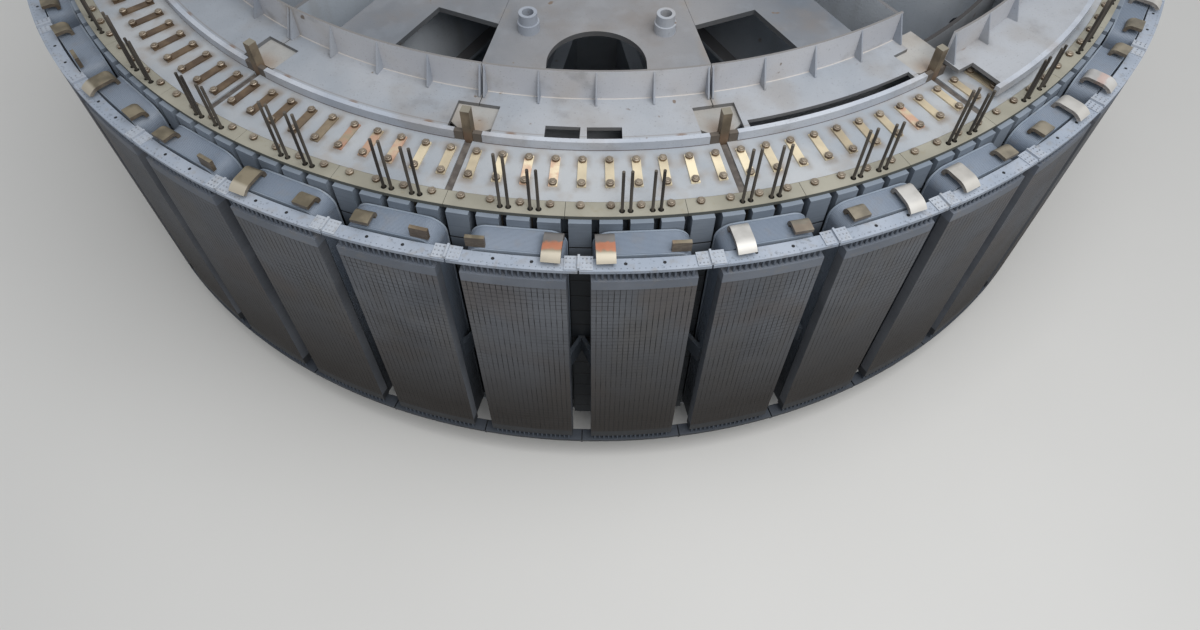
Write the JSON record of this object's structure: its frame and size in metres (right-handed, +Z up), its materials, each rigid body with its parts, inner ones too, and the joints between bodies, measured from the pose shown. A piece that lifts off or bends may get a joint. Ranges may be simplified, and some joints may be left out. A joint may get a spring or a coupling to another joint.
{
  "type": "hydroelectric generator rotor",
  "caption": "Vertical hydro generator rotor: webbed spider with an open deck, laminated rim with strapped bolts, and salient poles with field coils and damper rings.",
  "frame": {"origin": "on the rotor's axis, in the lower face of the coupling flange that it stands on", "axes": "+Z up along the axis of rotation, -Y through the middle of the spider sector that faces the viewer"},
  "size_m": [10.322, 10.322, 3.383],
  "materials": {
    "spider_steel": "dusty pale grey primer, brushed and mottled",
    "deck_steel": "pale grey primer with dust and small rust spots",
    "hub_steel": "machined, dull",
    "key_steel": "brown oiled steel",
    "rim_steel": "blue-grey varnished laminations",
    "rim_plate_steel": "pale blue-white paint with dust",
    "joint_steel": "dark bare steel",
    "outer_plate_steel": "cream paint, dusty",
    "strap_brass": "brownish yellow lock plates, dull",
    "bolt_steel": "brownish bare steel",
    "pole_key_steel": "dark oiled steel",
    "pole_steel": "blue-grey varnish, semi-gloss",
    "pole_plate_steel": "blue-grey paint",
    "coil_copper": "copper strip under blue-grey varnish",
    "collar_board": "grey-blue insulating board",
    "tab_metal": "tinned copper, stained orange in places",
    "damper_metal": "copper ring under pale blue-grey paint",
    "link_metal": "pale blue-grey paint",
    "brace_metal": "pale blue-grey paint",
    "brake_steel": "machined segments"
  },
  "bodies": {
    "root": {"hub": "spider_steel", "coupling_flange": "hub_steel", "top_flange": "hub_steel", "spider_webs": "spider_steel", "web_stiffeners": "spider_steel", "spider_arms": "spider_steel", "lower_deck": "spider_steel", "spider_shell": "spider_steel", "arched_deck_plates": "deck_steel", "side_deck_plates": "deck_steel", "bay_deck_plates": "deck_steel", "pipe_stubs": "deck_steel", "ledge_plates": "deck_steel", "ledge_curb": "deck_steel", "deck_skirt": "deck_steel", "skirt_gussets": "deck_steel", "rim_posts": "spider_steel", "post_caps": "deck_steel", "rim_keys": "key_steel", "rim_core": "rim_steel", "rim_bottom_plates": "rim_plate_steel", "brake_track": "brake_steel", "rim_sector_plates": "rim_plate_steel", "rim_joint_strips": "joint_steel", "rim_outer_plates": "outer_plate_steel", "rim_straps": "strap_brass", "strap_bolts": "bolt_steel", "outer_rim_bolts": "bolt_steel", "pole_keys": "pole_key_steel", "pole_cores": "pole_steel", "upper_pole_plates": "pole_plate_steel", "lower_pole_plates": "pole_plate_steel", "field_coils": "coil_copper", "rim_side_collars": "collar_board", "shoe_side_collars": "collar_board", "folded_coil_tabs": "tab_metal", "bent_coil_tabs": "tab_metal", "upright_coil_tabs": "tab_metal", "upper_damper_ring": "damper_metal", "lower_damper_ring": "damper_metal", "upper_ring_links": "link_metal", "lower_ring_links": "link_metal", "coil_braces": "brace_metal"}
  },
  "joints": []
}
